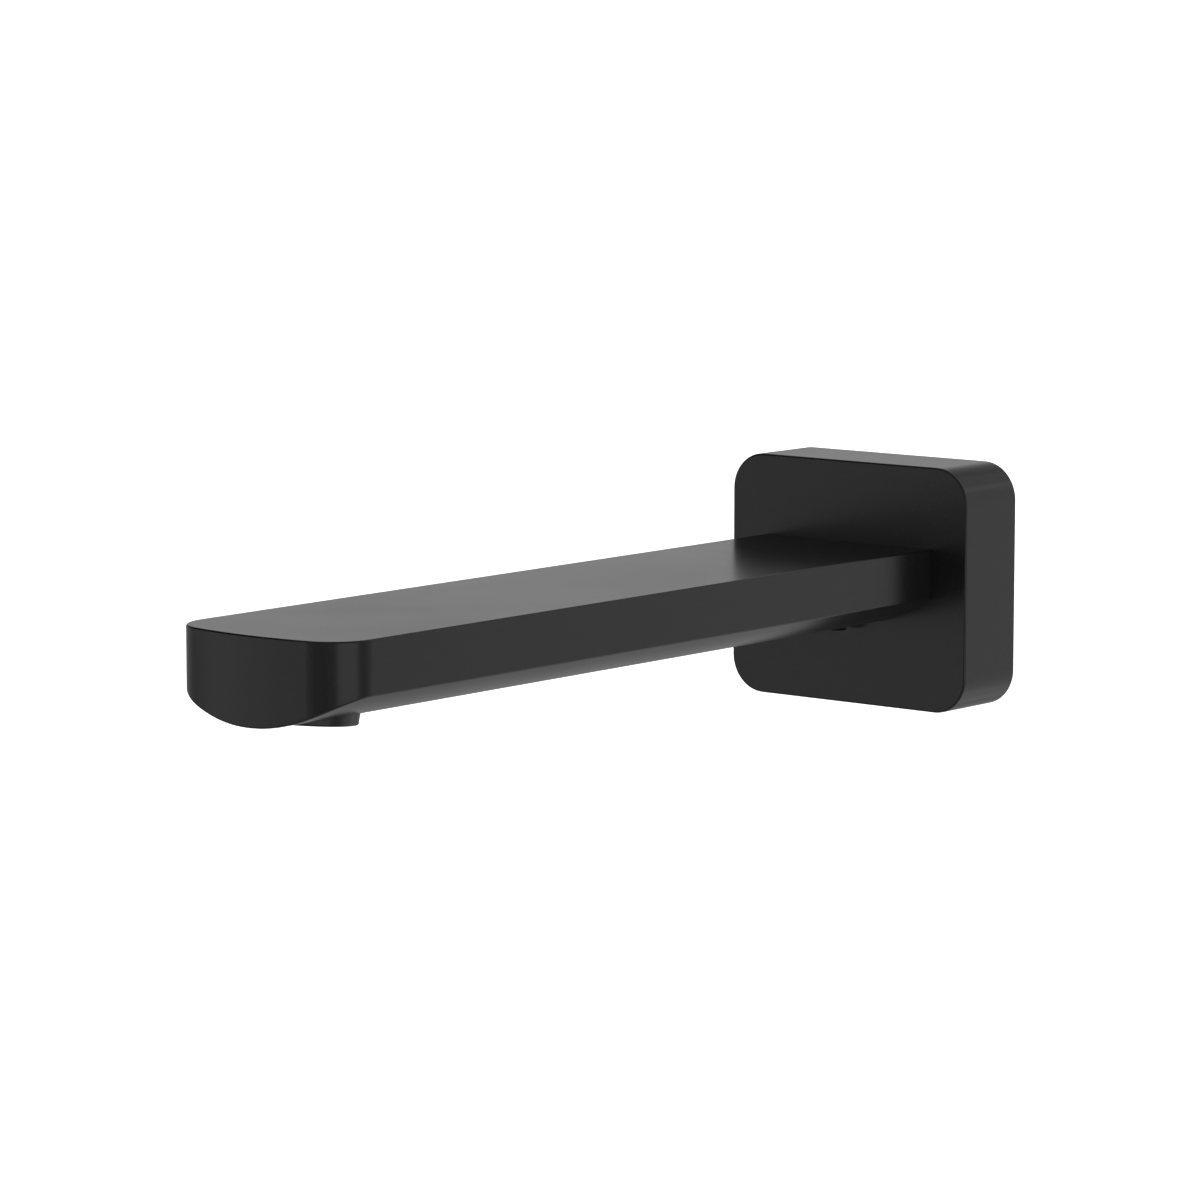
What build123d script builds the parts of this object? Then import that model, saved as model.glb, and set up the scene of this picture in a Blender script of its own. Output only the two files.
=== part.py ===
from build123d import *

import os
from math import ceil, cos, hypot, radians, sin, tan

# Wall-mounted water spout, black on cast brass. The wall is the plane Y = 0 and the spout reaches out
# along -Y. The origin is the middle of the plate on the wall, which is also the axis of the inlet.
# Lengths are millimetres. A distance called "out" is measured from the wall towards the tip.

# Wall plate
plate_width = 71.0
plate_height = 60.0
plate_depth = 20.8
plate_corner = 9.1
plate_edge = 0.5
plate_wall = 3.6
plate_web = 3.0
hub_wall = 3.3
hub_length = 4.0
rib_thickness = 2.0
rib_height = 3.0
seal_rim = 1.6
seal_width = 5.0
seal_thickness = 2.5
seal_clearance = 0.1

# Arm
reach = 236.5
arm_width = 50.2
arm_side = 12.2
arm_belly = 7.9
arm_edge = 0.45
tip_corner = 11.0
tip_bow = 3.6
casting_wall = 3.0
core_corner = 2.5
stop_shoulder = 4.0

# Tail of the arm, which centres the plate
tail_length = 7.4
tail_wall = 1.95
tail_clearance = 0.2
tail_chamfer = 0.6
neck_groove_depth = 0.9
neck_groove_width = 1.9
neck_groove_out = 3.9

# Inlet nipple
thread_radius = 20.955 / 2
thread_length = 16.0
thread_chamfer = 1.2
relief_radius = 9.2
inlet_radius = 6.75
inlet_depth = 18.5
inlet_taper = 2.2
washer_thickness = 1.5
washer_radius = 13.2
washer_clearance = 0.2
collar_flats = 27.0
collar_length = 6.0
collar_chamfer = 0.8
spigot_radius = 7.45
spigot_clearance = 0.1
spigot_engagement = 29.2
spigot_end_gap = 0.5
spigot_lead = 1.2
nipple_bore = 4.5
lock_groove_width = 6.4
lock_groove_depth = 1.1
seal_groove_depth = 1.4
seal_groove_width = 2.6
seal_groove_end = 9.0
seal_groove_spacing = 7.0
o_ring_width = 1.9
neck_ring_width = 1.4
squeeze_gap = 0.03
ring_chamfer = 0.28

# Set screw, M5, on the underside next to the plate
screw_radius = 2.5
screw_length = 5.0
screw_offset = 4.05
screw_clearance = 0.05
screw_socket_flats = 2.5
screw_socket_depth = 2.4
screw_point = 1.0
screw_chamfer = 0.35

# Outlet boss and its recessed aerator, M21.5
outlet_setback = 17.9
outlet_tilt = 5.6
outlet_proud = 0.7
boss_draft = 5.5
boss_wall = 1.35
boss_edge = 0.4
mouth_chamfer = 0.3
aerator_bore = 10.75
aerator_clearance = 0.05
aerator_recess = 0.8
aerator_wall = 1.4
aerator_lip = 1.1
lip_thickness = 1.4
key_slot_width = 1.8
key_slot_depth = 0.8
key_slots = 6
stack_clearance = 0.1
honeycomb_thickness = 2.0
honeycomb_pitch = 2.1
honeycomb_web = 0.35
screen_thickness = 0.3
screen_pitch = 2.0
screen_wire = 0.65
mixing_thickness = 1.2
mixing_wall = 1.5
jet_base = 1.2
jet_rim_height = 1.6
jet_rim = 1.2
jet_radius = 0.5
jet_ring = 7.2
jets = 12
regulator_radius = 6.2
regulator_wall = 0.9
regulator_base = 0.7
regulator_height = 2.0
regulator_post = 1.6
regulator_slots = 6
regulator_slot = 0.9
regulator_ring = 1.1
strainer_flange = 0.8
strainer_shell = 0.7
strainer_rise = 2.6
strainer_foot = 1.6
strainer_hole = 1.1
strainer_pitch = 2.4
aerator_seal = 1.5
aerator_seal_inset = 0.35
seat_width = 2.5
seat_thickness = 1.6

# Sizes that follow
arm_half_height = (arm_side + arm_belly) / 2
arm_low_corner = arm_half_height - arm_side
bore_radius = spigot_radius + spigot_clearance
tail_radius = bore_radius + tail_wall
tail_back = plate_depth - tail_length
hub_bore = tail_radius + tail_clearance
hub_radius = hub_bore + hub_wall
collar_front = washer_thickness + collar_length
spigot_end = plate_depth + spigot_engagement
bore_end = spigot_end + spigot_end_gap
core_start = bore_end + stop_shoulder
front_groove = spigot_end - seal_groove_end
rear_groove = front_groove - seal_groove_spacing
screw_out = plate_depth + screw_offset
screw_tip = -(spigot_radius - lock_groove_depth) - screw_clearance
outlet_out = reach - outlet_setback
outlet_foot = (0, -outlet_out, -arm_half_height - outlet_proud)
boss_radius = aerator_bore + boss_wall
housing_radius = aerator_bore - aerator_clearance
stack_bore = housing_radius - aerator_wall
stack_radius = stack_bore - stack_clearance
honeycomb_low = aerator_recess + lip_thickness
lower_screen_low = honeycomb_low + honeycomb_thickness
mixing_low = lower_screen_low + screen_thickness
upper_screen_low = mixing_low + mixing_thickness
jet_low = upper_screen_low + screen_thickness
regulator_low = jet_low + jet_base
strainer_low = regulator_low + jet_rim_height
housing_top = strainer_low + strainer_flange
seat_height = housing_top + aerator_seal
boss_height = seat_height + seat_thickness
seat_radius = aerator_bore - seat_width

# Working planes. In axial_plane a point is (out, radius); in outlet_section it is (radius, height up
# the outlet's tilted axis), counted from the foot of the boss.
axial_plane = Plane(origin=(0, 0, 0), x_dir=(0, -1, 0), z_dir=(-1, 0, 0))
outlet_up = Vector(0, sin(radians(outlet_tilt)), cos(radians(outlet_tilt)))
outlet_axis = Axis(outlet_foot, outlet_up)
outlet_face = Plane(origin=outlet_foot, x_dir=(1, 0, 0), z_dir=outlet_up)
outlet_section = Plane(origin=outlet_foot, x_dir=(1, 0, 0), z_dir=outlet_up.cross(Vector(-1, 0, 0)))

os.makedirs("parts", exist_ok=True)


def save(builder, name):
    """Labels a finished piece and writes it under its own name."""
    builder.part.label = name
    export_step(builder.part, f"parts/{name}.step")


def arm_section(out):
    """Cross-section of the arm: flat top, upright sides, and an underside that is one shallow arc."""
    half = arm_width / 2
    with BuildSketch(Plane.XZ.offset(out)) as section:
        with BuildLine():
            top = Line((-half, arm_half_height), (half, arm_half_height))
            side = Line(top @ 1, (half, arm_low_corner))
            belly = ThreePointArc(side @ 1, (0, -arm_half_height), (-half, arm_low_corner))
            Line(belly @ 1, top @ 0)
        make_face()
    return section.sketch


def arm_plan(inset):
    """The arm from above, from the wall to a tip with round corners and a slightly bowed front."""
    half = arm_width / 2
    with BuildSketch(Plane.XY.offset(-arm_half_height)) as plan:
        with BuildLine():
            root = Line((half, 0), (-half, 0))
            far = Line(root @ 1, (-half, tip_bow - reach))
            front = ThreePointArc(far @ 1, (0, -reach), (half, tip_bow - reach))
            Line(front @ 1, root @ 0)
        make_face()
        fillet(plan.vertices().group_by(Axis.Y)[0], tip_corner)
        if inset:
            offset(amount=-inset)
    return plan.sketch


def turned_ring(plane, axis, along, width, inner, outer):
    """A squeezed sealing ring: its section is flattened between two walls and eased at the corners."""
    height = outer - inner - 2 * squeeze_gap
    middle = (inner + outer) / 2
    centre = (along, middle) if plane is axial_plane else (middle, along)
    size = (width, height) if plane is axial_plane else (height, width)
    with BuildPart() as ring:
        with BuildSketch(plane) as section:
            with Locations(centre):
                Rectangle(*size)
            chamfer(section.vertices(), ring_chamfer)
        revolve(axis=axis)
    return ring


# The waterway inside the arm, as the foundry's sand core: the arm's section less the casting wall
with BuildPart() as sand_core:
    with BuildSketch(Plane.XZ.offset(core_start)) as core_section:
        add(arm_section(core_start))
        offset(amount=-casting_wall, kind=Kind.INTERSECTION)
        fillet(core_section.vertices(), core_corner)
    extrude(amount=reach - core_start)
    extrude(arm_plan(casting_wall), amount=2 * arm_half_height, mode=Mode.INTERSECT)

# Spout body: arm, tail, boss and bores in one brass casting
with BuildPart() as spout_body:
    extrude(arm_section(plate_depth), amount=reach - plate_depth)
    extrude(arm_plan(0), amount=2 * arm_half_height, mode=Mode.INTERSECT)
    top_rim = spout_body.faces().sort_by(Axis.Z)[-1].edges().sort_by(Axis.Y)[:-1]
    under_rim = spout_body.faces().sort_by(Axis.Z)[0].edges().sort_by(Axis.Y)[:-1]
    fillet(top_rim + under_rim, arm_edge)
    add(sand_core.part, mode=Mode.SUBTRACT)

    # Tail with its groove for the neck ring
    with BuildSketch(axial_plane):
        with BuildLine():
            Polyline(
                (tail_back, 0),
                (tail_back, tail_radius - tail_chamfer),
                (tail_back + tail_chamfer, tail_radius),
                (plate_depth, tail_radius),
                (plate_depth, 0),
                close=True,
            )
        make_face()
        with Locations((plate_depth - neck_groove_out, tail_radius)):
            Rectangle(neck_groove_width, 2 * neck_groove_depth, mode=Mode.SUBTRACT)
    revolve(axis=Axis.Y)

    # Bore for the nipple, with a lead for its rings, down to the stop shoulder and the waterway
    with BuildSketch(axial_plane):
        with BuildLine():
            Polyline(
                (tail_back, 0),
                (tail_back, bore_radius + tail_wall / 2),
                (tail_back + tail_wall, bore_radius),
                (bore_end, bore_radius),
                (bore_end, nipple_bore),
                (core_start + core_corner, nipple_bore),
                (core_start + core_corner, 0),
                close=True,
            )
        make_face()
    revolve(axis=Axis.Y, mode=Mode.SUBTRACT)

    # Outlet boss, wider towards the top by its casting draft
    with BuildSketch(outlet_section) as boss_profile:
        with BuildLine():
            Polyline(
                (0, 0),
                (boss_radius, 0),
                (boss_radius + boss_height * tan(radians(boss_draft)), boss_height),
                (0, boss_height),
                close=True,
            )
        make_face()
        fillet(boss_profile.vertices().group_by(Axis.Y)[0].sort_by(Axis.X)[-1], boss_edge)
    revolve(axis=outlet_axis)

    # Bore for the aerator, its seat, and the way up into the arm
    with BuildSketch(outlet_section):
        with BuildLine():
            Polyline(
                (0, -outlet_proud),
                (aerator_bore + mouth_chamfer + outlet_proud, -outlet_proud),
                (aerator_bore, mouth_chamfer),
                (aerator_bore, seat_height),
                (seat_radius, seat_height),
                (seat_radius, boss_height + core_corner),
                (0, boss_height + core_corner),
                close=True,
            )
        make_face()
    revolve(axis=outlet_axis, mode=Mode.SUBTRACT)

    # Threaded hole for the set screw
    with BuildSketch(Plane.XY.offset(-arm_half_height - outlet_proud)):
        with Locations((0, -screw_out)):
            Circle(screw_radius + screw_clearance)
    extrude(amount=arm_half_height + outlet_proud, mode=Mode.SUBTRACT)

# Wall plate: a deep cover, open at the back, with a hub and ribs inside
inner_width = plate_width - 2 * plate_wall
inner_height = plate_height - 2 * plate_wall
hollow_depth = plate_depth - plate_web
with BuildPart() as wall_plate:
    with BuildSketch(Plane.XZ):
        RectangleRounded(plate_width, plate_height, plate_corner)
    extrude(amount=plate_depth)
    fillet(wall_plate.faces().sort_by(Axis.Y)[0].edges(), plate_edge)
    with BuildSketch(Plane.XZ):
        RectangleRounded(inner_width, inner_height, plate_corner - plate_wall)
    extrude(amount=hollow_depth, mode=Mode.SUBTRACT)
    with BuildSketch(Plane.XZ):
        RectangleRounded(plate_width - 2 * seal_rim, plate_height - 2 * seal_rim, plate_corner - seal_rim)
    extrude(amount=seal_thickness, mode=Mode.SUBTRACT)
    with BuildSketch(Plane.XZ.offset(hollow_depth - rib_height)):
        Rectangle(inner_width, rib_thickness)
        Rectangle(rib_thickness, inner_height)
    extrude(amount=rib_height)
    with BuildSketch(Plane.XZ.offset(hollow_depth - hub_length)):
        Circle(hub_radius)
    extrude(amount=hub_length)
    with BuildSketch(Plane.XZ):
        Circle(hub_bore)
    extrude(amount=plate_depth, mode=Mode.SUBTRACT)

# Foam seal in the rebate round the back of the plate
seal_outer_width = plate_width - 2 * (seal_rim + seal_clearance)
seal_outer_height = plate_height - 2 * (seal_rim + seal_clearance)
seal_corner = plate_corner - seal_rim - seal_clearance
with BuildPart() as plate_seal:
    with BuildSketch(Plane.XZ):
        RectangleRounded(seal_outer_width, seal_outer_height, seal_corner)
        RectangleRounded(
            seal_outer_width - 2 * seal_width,
            seal_outer_height - 2 * seal_width,
            max(seal_corner - seal_width, seal_width / 4),
            mode=Mode.SUBTRACT,
        )
    extrude(amount=seal_thickness)

# Hexagonal collar of the nipple, its corners turned off to a cone on both faces
collar_corner = collar_flats / 2 / cos(radians(30))
with BuildPart() as collar_blank:
    with BuildSketch(Plane.XZ.offset(washer_thickness)):
        RegularPolygon(radius=collar_corner, side_count=6)
    extrude(amount=collar_length)
    with BuildSketch(axial_plane):
        with BuildLine():
            Polyline(
                (washer_thickness, 0),
                (washer_thickness, collar_flats / 2),
                (washer_thickness + collar_chamfer, collar_corner),
                (collar_front - collar_chamfer, collar_corner),
                (collar_front, collar_flats / 2),
                (collar_front, 0),
                close=True,
            )
        make_face()
    revolve(axis=Axis.Y, mode=Mode.INTERSECT)

# Inlet nipple: thread for the wall, collar, and a spigot that carries the arm
with BuildPart() as inlet_nipple:
    with BuildSketch(axial_plane):
        with BuildLine():
            Polyline(
                (-thread_length, 0),
                (-thread_length, thread_radius - thread_chamfer),
                (thread_chamfer - thread_length, thread_radius),
                (0, thread_radius),
                (0, relief_radius),
                (washer_thickness, relief_radius),
                (collar_front, relief_radius),
                (collar_front, spigot_radius),
                (spigot_end - spigot_lead, spigot_radius),
                (spigot_end, spigot_radius - spigot_lead / 2),
                (spigot_end, 0),
                close=True,
            )
        make_face()
        with Locations((screw_out, spigot_radius)):
            Rectangle(lock_groove_width, 2 * lock_groove_depth, mode=Mode.SUBTRACT)
        with Locations((rear_groove, spigot_radius), (front_groove, spigot_radius)):
            Rectangle(seal_groove_width, 2 * seal_groove_depth, mode=Mode.SUBTRACT)
    revolve(axis=Axis.Y)
    add(collar_blank.part)
    with BuildSketch(axial_plane):
        with BuildLine():
            Polyline(
                (-thread_length, 0),
                (-thread_length, inlet_radius),
                (inlet_depth - thread_length, inlet_radius),
                (inlet_depth - thread_length + inlet_taper, nipple_bore),
                (spigot_end, nipple_bore),
                (spigot_end, 0),
                close=True,
            )
        make_face()
    revolve(axis=Axis.Y, mode=Mode.SUBTRACT)

# Flat washer between the collar and the fitting in the wall
with BuildPart() as collar_washer:
    with BuildSketch(Plane.XZ):
        Circle(washer_radius)
        Circle(thread_radius + washer_clearance, mode=Mode.SUBTRACT)
    extrude(amount=washer_thickness)

# Socket set screw with a cone point, which stands a little proud under the arm
with BuildPart() as set_screw:
    with BuildSketch(Plane.XY.offset(screw_tip)):
        with Locations((0, -screw_out)):
            Circle(screw_radius)
    extrude(amount=-screw_length)
    chamfer(set_screw.edges().sort_by(Axis.Z)[-1], screw_point)
    chamfer(set_screw.edges().sort_by(Axis.Z)[0], screw_chamfer)
    with BuildSketch(Plane.XY.offset(screw_tip - screw_length)):
        with Locations((0, -screw_out)):
            RegularPolygon(radius=screw_socket_flats / 2, side_count=6, major_radius=False)
    extrude(amount=screw_socket_depth, mode=Mode.SUBTRACT)

# Aerator housing: threaded sleeve with a lip below and slots for its key
with BuildPart() as aerator_housing:
    with BuildSketch(outlet_section):
        with BuildLine():
            Polyline(
                (stack_bore - aerator_lip, aerator_recess),
                (housing_radius, aerator_recess),
                (housing_radius, housing_top),
                (stack_bore, housing_top),
                (stack_bore, honeycomb_low),
                (stack_bore - aerator_lip, honeycomb_low),
                close=True,
            )
        make_face()
    revolve(axis=outlet_axis)
    with BuildSketch(outlet_face.offset(aerator_recess)):
        with PolarLocations(housing_radius, key_slots):
            Rectangle(2 * (aerator_wall + aerator_lip + stack_clearance), key_slot_width)
    extrude(amount=key_slot_depth, mode=Mode.SUBTRACT)


def lattice(pitch, limit):
    """Centres of a triangular lattice that lie within a circle."""
    rows = ceil(limit / (pitch * sin(radians(60))))
    columns = ceil(limit / pitch) + 1
    points = []
    for row in range(-rows, rows + 1):
        for column in range(-columns, columns + 1):
            across = (column + row % 2 / 2) * pitch
            along = row * pitch * sin(radians(60))
            if hypot(across, along) <= limit:
                points.append((across, along))
    return points


# Honeycomb that straightens the stream, the piece that shows in the outlet
with BuildPart() as outlet_honeycomb:
    cell = (honeycomb_pitch - honeycomb_web) / 2
    with BuildSketch(outlet_face.offset(honeycomb_low)):
        Circle(stack_radius)
        with Locations(*lattice(honeycomb_pitch, stack_bore - aerator_lip - cell)):
            RegularPolygon(radius=cell, side_count=6, major_radius=False, rotation=30, mode=Mode.SUBTRACT)
    extrude(amount=honeycomb_thickness)


def screen(low):
    """A stamped screen: a thin disc with a grid of square openings."""
    opening = screen_pitch - screen_wire
    limit = stack_radius - mixing_wall - opening
    count = 2 * int(limit / screen_pitch) + 1
    steps = [(index - (count - 1) / 2) * screen_pitch for index in range(count)]
    centres = [(across, along) for across in steps for along in steps]
    with BuildPart() as disc:
        with BuildSketch(outlet_face.offset(low)):
            Circle(stack_radius)
            with Locations(*[place for place in centres if hypot(*place) <= limit]):
                Rectangle(opening, opening, mode=Mode.SUBTRACT)
        extrude(amount=screen_thickness)
    return disc


# Ring that keeps the two screens apart, where air and water mix
with BuildPart() as mixing_ring:
    with BuildSketch(outlet_face.offset(mixing_low)):
        Circle(stack_radius)
        Circle(stack_radius - mixing_wall, mode=Mode.SUBTRACT)
    extrude(amount=mixing_thickness)

# Jet plate: a cup whose floor has a ring of fine holes
with BuildPart() as jet_plate:
    with BuildSketch(outlet_face.offset(jet_low)):
        Circle(stack_radius)
        with PolarLocations(jet_ring, jets):
            Circle(jet_radius, mode=Mode.SUBTRACT)
    extrude(amount=jet_base)
    with BuildSketch(outlet_face.offset(regulator_low)):
        Circle(stack_radius)
        Circle(stack_radius - jet_rim, mode=Mode.SUBTRACT)
    extrude(amount=jet_rim_height)

# Flow regulator: a slotted cup with a post, round which its ring squeezes
with BuildPart() as flow_regulator:
    channel = regulator_radius - regulator_wall
    with BuildSketch(outlet_face.offset(regulator_low)):
        Circle(regulator_radius)
        with PolarLocations((channel + regulator_post) / 2, regulator_slots):
            Rectangle(channel - regulator_post - regulator_slot, regulator_slot, mode=Mode.SUBTRACT)
    extrude(amount=regulator_base)
    with BuildSketch(outlet_face.offset(regulator_low + regulator_base)):
        Circle(regulator_radius)
        Circle(channel, mode=Mode.SUBTRACT)
        Circle(regulator_post)
    extrude(amount=regulator_height - regulator_base)

# Strainer: a flanged cap with a pierced crown
strainer_top = housing_top + strainer_rise
cap_radius = stack_radius - strainer_foot
crown_limit = cap_radius - strainer_shell - strainer_hole
with BuildPart() as strainer_cap:
    with BuildSketch(outlet_section):
        with BuildLine():
            Polyline(
                (cap_radius - strainer_shell, strainer_low),
                (stack_radius, strainer_low),
                (stack_radius, housing_top),
                (cap_radius, housing_top),
                (cap_radius, strainer_top - strainer_shell),
                (cap_radius - strainer_shell, strainer_top),
                (0, strainer_top),
                (0, strainer_top - strainer_shell),
                (cap_radius - strainer_shell, strainer_top - strainer_shell),
                close=True,
            )
        make_face()
    revolve(axis=outlet_axis)
    with BuildSketch(outlet_face.offset(strainer_top - strainer_shell)):
        with Locations(*lattice(strainer_pitch, crown_limit)):
            Rectangle(strainer_hole, strainer_hole)
    extrude(amount=strainer_shell, mode=Mode.SUBTRACT)

# Rubber washer between the aerator and its seat in the boss
with BuildPart() as aerator_washer:
    with BuildSketch(outlet_face.offset(housing_top)):
        Circle(housing_radius - aerator_seal_inset)
        Circle(cap_radius + aerator_seal_inset, mode=Mode.SUBTRACT)
    extrude(amount=aerator_seal)

save(spout_body, "spout_body")
save(wall_plate, "wall_plate")
save(plate_seal, "plate_seal")
save(inlet_nipple, "inlet_nipple")
save(collar_washer, "collar_washer")
save(set_screw, "set_screw")
save(aerator_housing, "aerator_housing")
save(outlet_honeycomb, "outlet_honeycomb")
save(screen(lower_screen_low), "lower_screen")
save(mixing_ring, "mixing_ring")
save(screen(upper_screen_low), "upper_screen")
save(jet_plate, "jet_plate")
save(flow_regulator, "flow_regulator")
save(strainer_cap, "strainer_cap")
save(aerator_washer, "aerator_washer")

# Sealing rings: two on the spigot, one on the tail inside the plate, one in the regulator
groove_floor = spigot_radius - seal_groove_depth
for groove, name in ((rear_groove, "rear_o_ring"), (front_groove, "front_o_ring")):
    save(turned_ring(axial_plane, Axis.Y, groove, o_ring_width, groove_floor, bore_radius), name)
neck_floor = tail_radius - neck_groove_depth
neck_out = plate_depth - neck_groove_out
save(turned_ring(axial_plane, Axis.Y, neck_out, neck_ring_width, neck_floor, hub_bore), "neck_o_ring")
ring_height = regulator_low + regulator_base + squeeze_gap + regulator_ring / 2
save(
    turned_ring(outlet_section, outlet_axis, ring_height, regulator_ring, regulator_post, channel),
    "regulator_ring",
)
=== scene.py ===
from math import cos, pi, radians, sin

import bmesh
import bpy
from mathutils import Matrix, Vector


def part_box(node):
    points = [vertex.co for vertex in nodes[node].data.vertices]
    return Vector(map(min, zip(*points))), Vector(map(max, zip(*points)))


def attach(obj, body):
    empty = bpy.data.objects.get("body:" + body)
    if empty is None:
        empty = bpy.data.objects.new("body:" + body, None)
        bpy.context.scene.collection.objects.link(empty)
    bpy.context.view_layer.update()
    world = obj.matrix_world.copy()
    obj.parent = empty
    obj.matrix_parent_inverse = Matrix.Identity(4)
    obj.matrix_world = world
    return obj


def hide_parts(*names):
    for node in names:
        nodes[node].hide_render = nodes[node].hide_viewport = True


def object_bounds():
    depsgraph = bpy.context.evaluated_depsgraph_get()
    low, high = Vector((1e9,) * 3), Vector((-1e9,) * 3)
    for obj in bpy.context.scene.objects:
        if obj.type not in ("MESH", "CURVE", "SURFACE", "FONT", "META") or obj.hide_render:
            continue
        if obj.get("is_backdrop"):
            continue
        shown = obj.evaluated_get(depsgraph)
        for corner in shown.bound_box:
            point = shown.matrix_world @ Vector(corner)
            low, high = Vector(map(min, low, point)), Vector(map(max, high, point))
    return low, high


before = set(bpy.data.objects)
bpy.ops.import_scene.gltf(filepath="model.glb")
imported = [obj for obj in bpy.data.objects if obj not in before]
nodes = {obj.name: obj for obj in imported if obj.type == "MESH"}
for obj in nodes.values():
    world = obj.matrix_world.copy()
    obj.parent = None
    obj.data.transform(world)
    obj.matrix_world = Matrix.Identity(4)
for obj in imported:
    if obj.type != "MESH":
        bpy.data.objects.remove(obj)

# %% [markdown]
# # A wall spout in a satin black coat
#
# The object is a bathroom spout: a flat arm with an arched underside, carried by a deep plate with
# round corners. Its shape is finished in the solids that were just loaded, so this lesson is about
# what solids cannot say: how the black coat breaks up the light, how brass, rubber and foam differ
# from it, and the screw threads and woven wires that are too fine for the solids. Everything is in
# metres, the wall is the plane Y = 0 and the arm reaches out along -Y.

millimetre = 0.001
solid_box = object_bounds()
for name in sorted(nodes):
    low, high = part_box(name)
    size = (high - low) / millimetre
    print(f"{name:18} {size.x:6.1f} x {size.y:6.1f} x {size.z:5.1f} mm")

# %% [markdown]
# ## A node graph in few words
#
# Every material and every tree below is a graph. Two small helpers keep them readable: one adds a
# node with its settings, one wires a value or another node's socket into an input. They are used
# for shaders and for Geometry Nodes alike.

# %% Graph helpers


def put(tree, kind, x, y, **settings):
    """Adds a node at a place in the editor and applies its settings."""
    node = tree.nodes.new(kind)
    node.location = (x, y)
    for key, value in settings.items():
        setattr(node, key, value)
    return node


def wire(tree, source, target, output=0, entry=0):
    """Links an output of one node to an input of another, each given by name or by number."""
    tree.links.new(source.outputs[output], target.inputs[entry])


def calculate(tree, operation, x, y, first, second=None):
    """A Math node whose operands are numbers or (node, output) pairs."""
    node = put(tree, "ShaderNodeMath", x, y, operation=operation)
    for entry, operand in enumerate((first, second)):
        if isinstance(operand, tuple):
            wire(tree, operand[0], node, operand[1], entry)
        elif operand is not None:
            node.inputs[entry].default_value = operand
    return node


# %% [markdown]
# ## The grain that all finishes share
#
# No real surface here is perfectly even. The coat has a fine orange peel, cast plastic has a mould
# texture, rubber is slightly rough, and all of them carry faint clouds where the gloss changes.
# That is one effect at different scales, so it is built once as a shader group with three outputs:
# the grain, the clouds, and a normal that is roughened by the grain. It reads Object coordinates,
# because every piece keeps its place in its mesh, so the pattern stays on the object.

# %% Build the grain group
grain_group = bpy.data.node_groups.new("surface grain", "ShaderNodeTree")
grain_sockets = grain_group.interface
for name, default in (("Grain per metre", 2500.0), ("Clouds per metre", 25.0), ("Relief", 0.1)):
    socket = grain_sockets.new_socket(name, in_out="INPUT", socket_type="NodeSocketFloat")
    socket.default_value = default
grain_sockets.new_socket("Grain", in_out="OUTPUT", socket_type="NodeSocketFloat")
grain_sockets.new_socket("Clouds", in_out="OUTPUT", socket_type="NodeSocketFloat")
grain_sockets.new_socket("Normal", in_out="OUTPUT", socket_type="NodeSocketVector")

grain_in = put(grain_group, "NodeGroupInput", -800, 0)
grain_out = put(grain_group, "NodeGroupOutput", 400, 0)
coordinates = put(grain_group, "ShaderNodeTexCoord", -800, 250)
grain = put(grain_group, "ShaderNodeTexNoise", -500, 200)
grain.inputs["Detail"].default_value = 3.0
grain.inputs["Roughness"].default_value = 0.55
clouds = put(grain_group, "ShaderNodeTexNoise", -500, -150)
clouds.inputs["Detail"].default_value = 4.0
clouds.inputs["Roughness"].default_value = 0.6
relief = put(grain_group, "ShaderNodeBump", 100, 100)
relief.inputs["Distance"].default_value = 0.02 * millimetre
wire(grain_group, coordinates, grain, "Object", "Vector")
wire(grain_group, coordinates, clouds, "Object", "Vector")
wire(grain_group, grain_in, grain, "Grain per metre", "Scale")
wire(grain_group, grain_in, clouds, "Clouds per metre", "Scale")
wire(grain_group, grain_in, relief, "Relief", "Strength")
wire(grain_group, grain, relief, 0, "Height")
wire(grain_group, grain, grain_out, 0, "Grain")
wire(grain_group, clouds, grain_out, 0, "Clouds")
wire(grain_group, relief, grain_out, 0, "Normal")
print("surface grain:", len(grain_group.nodes), "nodes")

# %% [markdown]
# ## Finishes
#
# A finish is a Principled shader whose colour and roughness run between two values by the clouds
# or the grain. What stays the same all over, such as how strongly the surface mirrors, is set on
# the shader itself. The same recipe gives the coat, brass, steel, plastic, rubber and foam: only
# the numbers change, as they do on the real materials.

# %% A recipe for a finish
usual_noise = (0.3, 0.7)


def blend_range(tree, x, y, source, output, low, high):
    """Maps a noise value, which seldom leaves its usual range, onto a narrow range of numbers."""
    node = put(tree, "ShaderNodeMapRange", x, y)
    wire(tree, source, node, output, "Value")
    node.inputs["From Min"].default_value = usual_noise[0]
    node.inputs["From Max"].default_value = usual_noise[1]
    node.inputs["To Min"].default_value = low
    node.inputs["To Max"].default_value = high
    return node


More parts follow.
